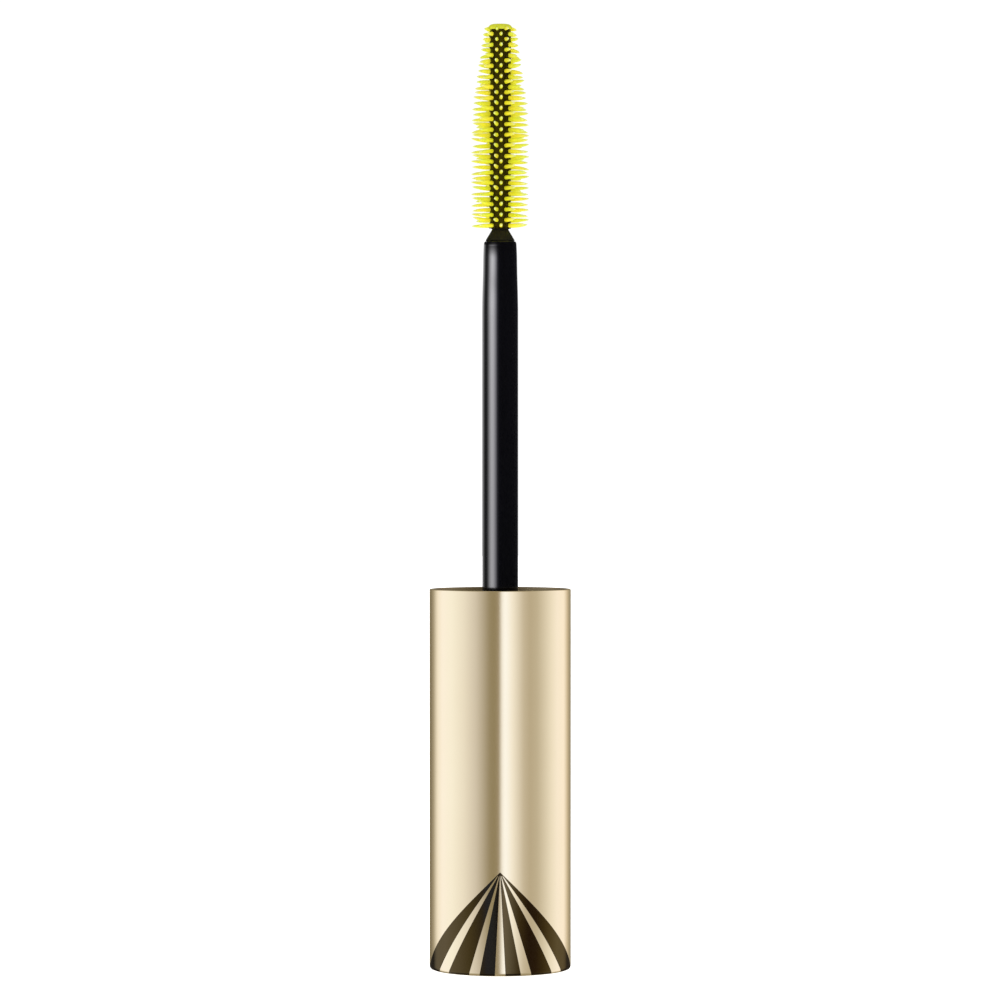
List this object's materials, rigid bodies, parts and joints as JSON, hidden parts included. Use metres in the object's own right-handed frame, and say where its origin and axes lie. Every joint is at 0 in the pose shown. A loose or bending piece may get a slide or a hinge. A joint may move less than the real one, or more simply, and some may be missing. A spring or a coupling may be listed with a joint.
{
  "type": "mascara wand",
  "caption": "Mascara applicator wand: metal cap with an inner threaded cap, a slim rod in its mouth and a moulded bristle brush on the end.",
  "frame": {"origin": "centre of the cap's closed end, which the wand stands on", "axes": "+Z along the wand from the cap's closed end to the brush tip, -Y the front of the cap, where the fan of printed rays is"},
  "size_m": [0.017, 0.0171, 0.1134],
  "materials": {
    "gold_metal": "satin gold anodised",
    "dark_ink": "gloss printed ink",
    "weight_steel": "turned",
    "inner_plastic": "moulded, fine texture",
    "gasket_foam": "soft, matte",
    "rod_plastic": "high gloss",
    "core_plastic": "moulded, satin",
    "bristle_elastomer": "moulded, slightly translucent"
  },
  "bodies": {
    "root": {"cap_shell": "gold_metal", "ray_print": "dark_ink", "cap_weight": "weight_steel", "inner_cap": "inner_plastic", "sealing_gasket": "gasket_foam", "rod": "rod_plastic", "brush_core": "core_plastic", "bristles": "bristle_elastomer"}
  },
  "joints": []
}
